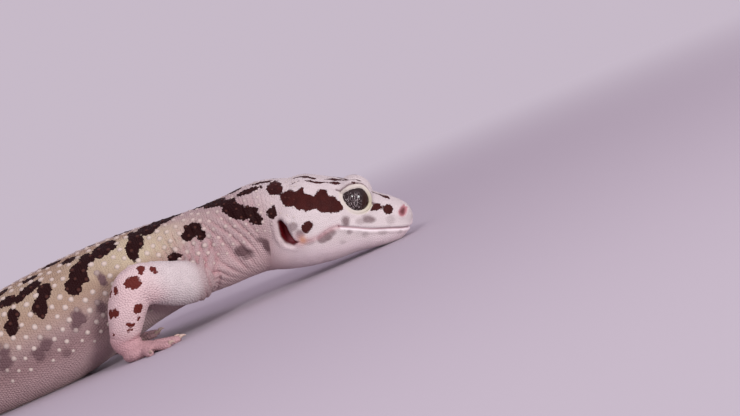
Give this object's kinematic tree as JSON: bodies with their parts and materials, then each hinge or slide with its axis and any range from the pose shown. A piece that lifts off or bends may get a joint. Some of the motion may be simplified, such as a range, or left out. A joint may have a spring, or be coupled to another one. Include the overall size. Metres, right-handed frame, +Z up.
{
  "type": "leopard gecko",
  "caption": "Life-size leopard gecko lying on its belly, with a blunt head, lidded eyes, sprawled legs with slim toes and a thick curved tail, in a pale coat with dark blotches.",
  "frame": {"origin": "middle of the flat under the belly on which the animal rests", "axes": "+X towards the head, +Y to the animal's left, +Z up"},
  "size_m": [0.2061, 0.0858, 0.0244],
  "materials": {
    "skin": "matte, finely scaled, pale lilac and cream with dark brown blotches",
    "eye": "wet gloss, dark grey silver iris with a black slit"
  },
  "bodies": {
    "root": {"head": "skin", "lower_jaw": "skin", "neck": "skin", "trunk": "skin", "tail_base": "skin", "tail_middle": "skin", "tail_tip": "skin", "upper_arm_right": "skin", "forearm_right": "skin", "hand_right": "skin", "upper_arm_left": "skin", "forearm_left": "skin", "hand_left": "skin", "thigh_right": "skin", "shank_right": "skin", "foot_right": "skin", "thigh_left": "skin", "shank_left": "skin", "foot_left": "skin", "eye_left": "eye", "eye_right": "eye"}
  },
  "joints": []
}
